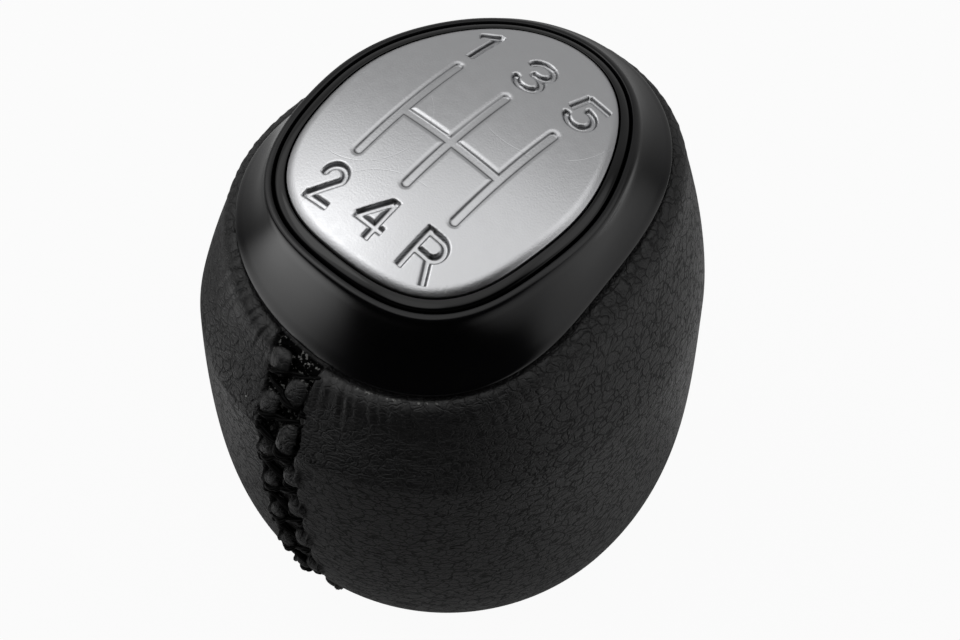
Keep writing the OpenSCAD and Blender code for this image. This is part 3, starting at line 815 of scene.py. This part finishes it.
GATE_PITCH, GATE_LEN, GATE_AHEAD, GATE_W = 6.85, 16.9, 0.75, 1.5
EDGE_ROLL = 0.45


def arc(cx, cy, rx, ry, start, end, count=24):
    """Points along an elliptical arc, angles in degrees from +X."""
    t = np.radians(np.linspace(start, end, count))
    return np.stack([cx + rx * np.cos(t), cy + ry * np.sin(t)], axis=-1)


def numeral_strokes():
    """Strokes of the six numerals as plan polylines, in millimetres."""
    line = np.array
    return [
        line([(-8.75, 14.2), (-7.0, 15.55)]), line([(-7.0, 15.9), (-7.0, 10.55)]),
        arc(-0.33, 14.75, 1.44, 1.15, 182, -105), arc(-0.18, 12.38, 1.5, 1.22, 100, -172),
        line([(5.6, 15.9), (8.4, 15.9)]), line([(5.66, 16.0), (5.24, 13.2)]),
        arc(6.87, 12.77, 1.51, 1.44, 100, -163),
        np.concatenate([arc(-6.69, -10.76, 1.2, 1.15, 195, -10), line([(-7.64, -13.95)])]),
        line([(-8.0, -14.0), (-4.8, -14.0)]),
        line([(0.9, -9.2), (0.9, -14.3)]), line([(0.66, -9.5), (-1.58, -12.8)]),
        line([(-1.75, -12.72), (1.95, -12.72)]),
        line([(5.6, -9.0), (5.6, -14.25)]),
        np.concatenate([
            line([(5.6, -9.37)]), arc(7.33, -10.55, 1.18, 1.18, 90, -90), line([(5.6, -11.73)])]),
        line([(7.6, -11.8), (8.95, -14.2)]),
    ]


def gate_strokes():
    """Centre lines of the gate pattern: three lanes and the cross lane."""
    ends = GATE_AHEAD + np.array([1, -1]) * (GATE_LEN - GATE_W) / 2
    lanes = [np.array([(x, ends[0]), (x, ends[1])]) for x in (-GATE_PITCH, 0, GATE_PITCH)]
    return lanes + [np.array([(-GATE_PITCH, -0.1), (GATE_PITCH, -0.1)])]


def stroke_edge(p, path, half, flat_ends):
    """Signed distance to the edge of a stroke of a half width along a polyline. Joints are round; ends are
    square where flat_ends is set."""
    best = np.full(p.shape[:-1], np.inf)
    for n in range(len(path) - 1):
        q = path[n]
        d = path[n + 1] - q
        length = np.hypot(*d)
        d = d / length
        rel = p - q
        t = rel @ d
        across = np.abs(rel[..., 0] * d[1] - rel[..., 1] * d[0])
        over = np.maximum(-t, t - length)
        edge = np.where(over <= 0, across, np.hypot(across, np.maximum(over, 0))) - half
        if flat_ends:
            square = np.maximum(across - half, over)
            low, high = (t < 0) & (n == 0), (t > length) & (n == len(path) - 2)
            edge = np.where(low | high, square, edge)
        best = np.minimum(best, edge)
    return best


def pressed(edge, shoulder, wall, depth):
    """Depth of a pressed line from its signed edge distance: soft shoulder, steep wall and flat floor."""
    soft = 0.28 * ease((shoulder - edge) / shoulder)
    steep = 0.72 * ease(-edge / wall)
    return depth * (soft + steep)


class KNOB_OT_plate(Operator):
    """Pressed plate: a domed egg with rolled edges, gate pattern and numerals"""
    bl_idname = "knob.plate"
    bl_label = "Shift plate"

    def execute(self, context):
        props = context.scene.knob_plate
        n = props.steps
        line = np.linspace(-1, 1, n + 1)
        u, v = np.meshgrid(line, line)
        x, y = u * np.sqrt(1 - v * v / 2), v * np.sqrt(1 - u * u / 2)
        rho, a = np.hypot(x, y), np.arctan2(x, y)
        plan = polar(rho * egg_r(a, **PLATE), a, PLATE_BACK)
        inward = (1 - rho) * egg_r(a, **PLATE)
        gate = np.minimum.reduce([stroke_edge(plan, q, GATE_W / 2 - 0.15, False) for q in gate_strokes()])
        half = props.stroke / MM / 2
        numerals = np.minimum.reduce([stroke_edge(plan, q, half, True) for q in numeral_strokes()])
        down = pressed(gate, 0.35, 0.24, props.gate_depth / MM)
        down = down + pressed(numerals, 0.12, 0.24, props.numeral_depth / MM)
        # Painted shade on the walls of the gate and the numerals, as a mask for the colour
        shade = np.maximum(0.85 * bump(gate + 0.12, 0.12), bump(numerals + 0.12, 0.11))
        roll = np.clip(1 - inward / 1.1, 0, 1)
        top = at_height(plan, dome_z(plan) - down - EDGE_ROLL * roll**2.2)
        index = np.arange((n + 1) ** 2).reshape(n + 1, n + 1)
        quads = np.stack([index[:-1, :-1], index[:-1, 1:], index[1:, 1:], index[1:, :-1]], axis=-1)
        border = np.concatenate([index[-1, :-1], index[::-1, -1][:-1], index[0, ::-1][:-1], index[:-1, 0]])
        ba = a.ravel()[border]
        skirt_rows = ((-0.02, 0.62), (-0.05, 1.1), (-0.25, 1.17), (-PLATE_T, 1.17), (-1.1, PLATE_T))
        rows = [on_dome(plate_plan(ba, grow), drop) for grow, drop in skirt_rows]
        rows += [on_dome(share * plate_plan(ba, 0), PLATE_T) for share in (0.7, 0.35)]
        m = len(border)
        base = top.size // 3
        wall = np.concatenate([border[None], base + np.arange(len(rows) * m).reshape(len(rows), m)])
        nxt = np.roll(wall, -1, axis=1)
        skirt = np.stack([wall[:-1], nxt[:-1], nxt[1:], wall[1:]], axis=-1).reshape(-1, 4)
        verts = np.concatenate([top.reshape(-1, 3), np.concatenate(rows), [[0, 0, KNOB_H - PLATE_T]]])
        tris = fan(len(verts) - 1, wall[-1], False)
        shade = np.concatenate([shade.ravel(), np.zeros(len(verts) - shade.size)])
        quads = np.concatenate([quads.reshape(-1, 4), skirt])
        obj = new_object("shift_plate_fine", verts, quads, tris, attributes={"shade": shade})
        finish_piece(obj, plate_material(props), "satin_aluminium", "shift_plate")
        return {"FINISHED"}


RIM_W, RIM_OVER, RIM_ROUND, CARRIER_T, PAD_T = 1.15, 0.1, 0.45, 5.6, 0.4
RIM_DOWN = EDGE_ROLL - RIM_OVER
PAD_DOWN = PLATE_T + FIT_GAP
DISH_DOWN = PAD_DOWN + PAD_T + FIT_GAP
CARRIER_Z = KNOB_H - DISH_DOWN - CARRIER_T
RIM_OUT = SHOW_GAP + RIM_W
BORE_OUT = RIM_OUT + SHOW_GAP


def plate_loop(a, grow, down):
    """Loop on the dome outside or inside the plate's outline."""
    return on_dome(plate_plan(a, grow), down)


def smooth_rows(rows, count):
    """Catmull-Rom curves down the columns through a few rows of points: count rows for each gap."""
    pts = np.stack(rows)
    t = (np.arange(count) / count)[:, None, None]
    out = []
    for j in range(len(pts) - 1):
        p0, p1, p2, p3 = (pts[min(len(pts) - 1, max(0, j + k))][None] for k in (-1, 0, 1, 2))
        square, cube = 2 * p0 - 5 * p1 + 4 * p2 - p3, 3 * p1 - p0 - 3 * p2 + p3
        out.append(0.5 * (2 * p1 + (p2 - p0) * t + square * t**2 + cube * t**3))
    return np.concatenate(out + [pts[-1:]])


class KNOB_OT_rim(Operator):
    """Plate carrier: a dish under the plate with a glossy rim round it"""
    bl_idname = "knob.rim"
    bl_label = "Plate carrier"

    def execute(self, context):
        props = context.scene.knob_trim
        n = 360
        a = np.arange(n) * 2 * np.pi / n
        low = EDGE_ROLL + PLATE_T + PAD_T + FIT_GAP
        dish = [on_dome(share * plate_plan(a, 0), DISH_DOWN) for share in (0.3, 0.6, 0.92)]
        foot = at_height(plate_plan(a, RIM_OUT), CARRIER_Z)
        hidden = dish + [plate_loop(a, -PLATE_T - SHOW_GAP, low), plate_loop(a, SHOW_GAP, low)]
        section = (
            (0, 0.5), (0.02, 0.16), (0.16, 0.02), (0.5 * RIM_W, 0.03), (0.86 * RIM_W, 0.16),
            (RIM_W, RIM_ROUND), (RIM_W, RIM_ROUND + 0.5),
        )
        crest = smooth_rows([plate_loop(a, SHOW_GAP + out, RIM_DOWN + down) for out, down in section], 6)
        rows = np.concatenate([np.stack(hidden), crest, foot[None]])
        verts = np.concatenate([rows.reshape(-1, 3), [[0, 0, KNOB_H - DISH_DOWN], [0, 0, CARRIER_Z]]])
        m = len(rows)
        lid, floor = fan(m * n, np.arange(n), True), fan(m * n + 1, (m - 1) * n + np.arange(n), False)
        tris = np.concatenate([lid, floor])
        obj = new_object("plate_carrier_fine", verts, ring_quads(m, n), tris)
        mat = plastic_material("Gloss black", props.rim_colour, 0.08, 0.16, 0.000002, 900.0)
        finish_piece(obj, mat, "gloss_black", "plate_carrier")
        return {"FINISHED"}


TOP_W, TOP_ROUND, ROLL_R, BEZEL_WALL, SKIRT_H, FLANK_HOLLOW = 0.9, 0.3, 0.9, 1.8, 2.4, 0.35
SEAT_DOWN = CREVICE_DEPTH - FIT_GAP


def edge_pt(a, grow, up):
    """Point beside the bezel's lower edge."""
    return at_height(bezel_plan(a, grow), edge_z(bezel_plan(a, 0)) + up)


def top_pt(a, grow, down):
    """Point beside the bezel's top edge."""
    bore_z = dome_z(plate_plan(a, BORE_OUT)) - EDGE_ROLL
    return at_height(plate_plan(a, BORE_OUT + grow), bore_z - down)


class KNOB_OT_bezel(Operator):
    """Bezel: rounded top edge, hollow flank and rolled lower edge on the leather"""
    bl_idname = "knob.bezel"
    bl_label = "Bezel"

    def execute(self, context):
        props = context.scene.knob_trim
        n = 480
        a = np.arange(n) * 2 * np.pi / n
        outward = np.stack([np.sin(a), np.cos(a), 0 * a], axis=-1)

        def flank(k):
            low, high = edge_pt(a, 0, ROLL_R), top_pt(a, TOP_W, 1.2 * TOP_ROUND)
            return high + (low - high) * k - FLANK_HOLLOW * np.sin(np.pi * k) * outward

        section = [top_pt(a, 0, TOP_ROUND + 0.6), top_pt(a, 0, TOP_ROUND), top_pt(a, 0.3 * TOP_W, 0)]
        section += [flank(k) for k in np.linspace(0, 1, 7)]
        section += [edge_pt(a, -0.15 * ROLL_R, 0.35 * ROLL_R), edge_pt(a, -0.45 * ROLL_R, -0.2),
                    edge_pt(a, -0.6 * ROLL_R, -SEAT_DOWN)]
        inner = [edge_pt(a, -BEZEL_WALL, -SEAT_DOWN), edge_pt(a, -BEZEL_WALL, ROLL_R), top_pt(a, 0, SKIRT_H)]
        rows = np.concatenate([smooth_rows(section, 5), np.stack(inner)])
        obj = new_object("bezel_fine", rows, ring_quads(len(rows), n, close=True))
        mat = plastic_material("Satin black", props.bezel_colour, 0.2, 0.27, 0.000003, 1400.0)
        finish_piece(obj, mat, "satin_black", "bezel")
        return {"FINISHED"}


# Name, colour, lowest and highest roughness, depth and scale of the texture
INNER_PLASTICS = {
    "core": ("Core plastic", (0.03, 0.03, 0.032), 0.5, 0.65, 0.00003, 500.0),
    "lever_socket": ("Socket plastic", (0.06, 0.06, 0.065), 0.4, 0.55, 0.00002, 600.0),
    "bottom_collar": ("Collar plastic", (0.016, 0.016, 0.017), 0.4, 0.55, 0.00002, 900.0),
    "adhesive_pad": ("Foam tape", (0.7, 0.7, 0.66), 0.7, 0.9, 0.00005, 1500.0),
}


class KNOB_OT_solids(Operator):
    """Finishes for the solids that keep their own shapes"""
    bl_idname = "knob.solids"
    bl_label = "Inner pieces"

    def execute(self, context):
        finishes = {node: plastic_material(*values) for node, values in INNER_PLASTICS.items()}
        finishes["retaining_ring"] = metal_material("Spring steel", (0.5, 0.5, 0.52), 0.25, 0.4)
        for node, mat in finishes.items():
            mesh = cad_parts[node].data
            mesh.materials.clear()
            mesh.materials.append(mat)
        return {"FINISHED"}


CAMERA_AT = (131.44, -145.71, 327.67)
CAMERA_RIGHT, CAMERA_FORWARD = (0.738, 0.6746, 0.0166), (-0.3647, 0.4193, -0.8314)

# Softboxes round the knob: plan angle and height in degrees, inner and outer radius, brightness
SOFTBOXES = (
    (-114, 42, 26, 45, 0.84),
    (-140, -30, 5, 25, 1.12),
    (0, 90, 22, 48, 0.79),
    (57, -6, 14, 38, 0.58),
    (42, 42, 12, 30, 0.9),
    (164, 60, 8, 24, 0.95),
    (80, -31, 10, 36, 0.5),
    (25, -42, 8, 26, 0.7),
    (-45, 5, 45, 89, 0.32),
    (-50, -47, 8, 33, 0.9),
    (0, -90, 35, 62, 0.24),
)

# Key lamp: plan angle and height in degrees, distance and side in metres
KEY_FROM, KEY_AWAY, KEY_SIZE = (-120, 52), 0.9, 0.5

# Place in metres that the lamp faces, and from which the floor's mirrored light is reckoned
KNOB_MIDDLE = (0, 0, 0.05)
FLOOR_WHITE = 0.95


def direction(plan, height):
    """Unit vector for a plan angle from the front to the right and a height, in degrees."""
    p, h = np.radians(plan), np.radians(height)
    return np.array([np.sin(p) * np.cos(h), np.cos(p) * np.cos(h), np.sin(h)])


def lobe(tree, way, plan, height, inner, outer):
    """Soft round patch on the sphere of directions."""
    facing = vector_node(tree, "DOT_PRODUCT", way, direction(plan, height))
    return ramp(tree, facing, float(np.cos(np.radians(outer))), float(np.cos(np.radians(inner))))


def studio_light(tree, vector):
    """Brightness of the studio round the knob in a direction: the brightest softbox there."""
    way = vector_node(tree, "NORMALIZE", vector)
    total = None
    for plan, height, inner, outer, bright in SOFTBOXES:
        patch = math_node(tree, "MULTIPLY", lobe(tree, way, plan, height, inner, outer), bright)
        total = patch if total is None else math_node(tree, "MAXIMUM", total, patch)
    return total


def seen_plainly(tree):
    """Light path node, and one for camera and transmission rays."""
    path = tree.nodes.new("ShaderNodeLightPath")
    camera, through = path.outputs["Is Camera Ray"], path.outputs["Is Transmission Ray"]
    return path, math_node(tree, "MAXIMUM", camera, through)


def place_camera(scene, lens):
    """Camera at the photograph's viewing place and angle."""
    forward = unit(np.array(CAMERA_FORWARD))
    right = np.array(CAMERA_RIGHT)
    right = unit(right - forward * (right @ forward))
    up = -np.cross(forward, right)
    turn = Matrix([list(right), list(up), list(-forward)]).transposed()
    camera = bpy.data.cameras.new("Camera")
    camera.lens = lens
    camera.sensor_width = 36
    camera.clip_start = 0.01
    obj = bpy.data.objects.new("Camera", camera)
    obj.matrix_world = Matrix.Translation(Vector(CAMERA_AT) * MM) @ turn.to_4x4()
    scene.collection.objects.link(obj)
    scene.camera = obj


def make_floor():
    """Floor that the camera sees as white, with a little of its shadow, and mirrors as the softboxes."""
    corners = np.array([(-1, -1, 0), (1, -1, 0), (1, 1, 0), (-1, 1, 0)]) * 3 / MM
    floor = new_object("floor", corners, np.array([[0, 1, 2, 3]]))
    mat, tree, shader, place = new_material("White floor", (0.5, 0.5, 0.5), 0.9, specular=0)
    above = vector_node(tree, "SUBTRACT", place, KNOB_MIDDLE)
    path, seen = seen_plainly(tree)
    mirrored = math_node(tree, "MULTIPLY", path.outputs["Is Glossy Ray"], studio_light(tree, above))
    white = tree.nodes.new("ShaderNodeEmission")
    tree.links.new(math_node(tree, "MAXIMUM", seen, mirrored), white.inputs["Strength"])
    share = math_node(tree, "MULTIPLY", seen, FLOOR_WHITE)
    share = math_node(tree, "MAXIMUM", share, path.outputs["Is Glossy Ray"])
    mix = tree.nodes.new("ShaderNodeMixShader")
    tree.links.new(share, mix.inputs[0])
    tree.links.new(shader.outputs[0], mix.inputs[1])
    tree.links.new(white.outputs[0], mix.inputs[2])
    tree.links.new(mix.outputs[0], tree.nodes["Material Output"].inputs["Surface"])
    floor.data.materials.append(mat)


def make_world(scene):
    """World that the camera sees as white, and that lights and mirrors as the softboxes."""
    world = bpy.data.worlds.new("Studio")
    scene.world = world
    world.use_nodes = True
    tree = world.node_tree
    background = tree.nodes["Background"]
    dome = studio_light(tree, tree.nodes.new("ShaderNodeTexCoord").outputs["Generated"])
    tree.links.new(math_node(tree, "MAXIMUM", seen_plainly(tree)[1], dome), background.inputs["Strength"])
    background.inputs["Color"].default_value = (1, 1, 1, 1)


def place_key(scene, power):
    """Square softbox that faces the knob."""
    light = bpy.data.lights.new("Key softbox", "AREA")
    light.size = KEY_SIZE
    light.energy = power
    lamp = bpy.data.objects.new("Key softbox", light)
    away = direction(*KEY_FROM)
    turn = Vector(-away).to_track_quat("-Z", "Y").to_matrix().to_4x4()
    lamp.matrix_world = Matrix.Translation(Vector(away * KEY_AWAY + KNOB_MIDDLE)) @ turn
    scene.collection.objects.link(lamp)


class KNOB_OT_stage(Operator):
    """Floor, world, lamps and the camera"""
    bl_idname = "knob.stage"
    bl_label = "Stage"

    def execute(self, context):
        props = context.scene.knob_stage
        scene = context.scene
        scene.view_settings.view_transform = "Standard"
        place_camera(scene, props.lens)
        make_floor()
        make_world(scene)
        place_key(scene, props.key)
        return {"FINISHED"}


STEPS = (
    KNOB_OT_stage, KNOB_OT_leather, KNOB_OT_thread, KNOB_OT_bezel, KNOB_OT_rim, KNOB_OT_plate, KNOB_OT_solids,
)
GROUPS_OF_VALUES = {
    "knob_leather": LeatherProps, "knob_plate": PlateProps, "knob_trim": TrimProps,
    "knob_thread": ThreadProps, "knob_stage": StageProps,
}


class KNOB_PT_panel(Panel):
    """The knob's values and steps"""
    bl_label = "Shift Knob"
    bl_space_type = "VIEW_3D"
    bl_region_type = "UI"
    bl_category = "Shift Knob"

    def draw(self, context):
        layout = self.layout
        for key, values in GROUPS_OF_VALUES.items():
            box = layout.box()
            for prop in values.__annotations__:
                box.prop(getattr(context.scene, key), prop)
        for step in STEPS:
            layout.operator(step.bl_idname)


CLASSES = (*GROUPS_OF_VALUES.values(), *STEPS, KNOB_PT_panel)


def register():
    for cls in CLASSES:
        bpy.utils.register_class(cls)
    for key, values in GROUPS_OF_VALUES.items():
        setattr(bpy.types.Scene, key, PointerProperty(type=values))


def unregister():
    for key in GROUPS_OF_VALUES:
        delattr(bpy.types.Scene, key)
    for cls in reversed(CLASSES):
        bpy.utils.unregister_class(cls)


def main():
    register()
    bpy.ops.knob.stage()
    bpy.ops.knob.leather()
    bpy.ops.knob.thread()
    bpy.ops.knob.bezel()
    bpy.ops.knob.rim()
    bpy.ops.knob.plate()
    bpy.ops.knob.solids()


if __name__ == "__main__":
    main()
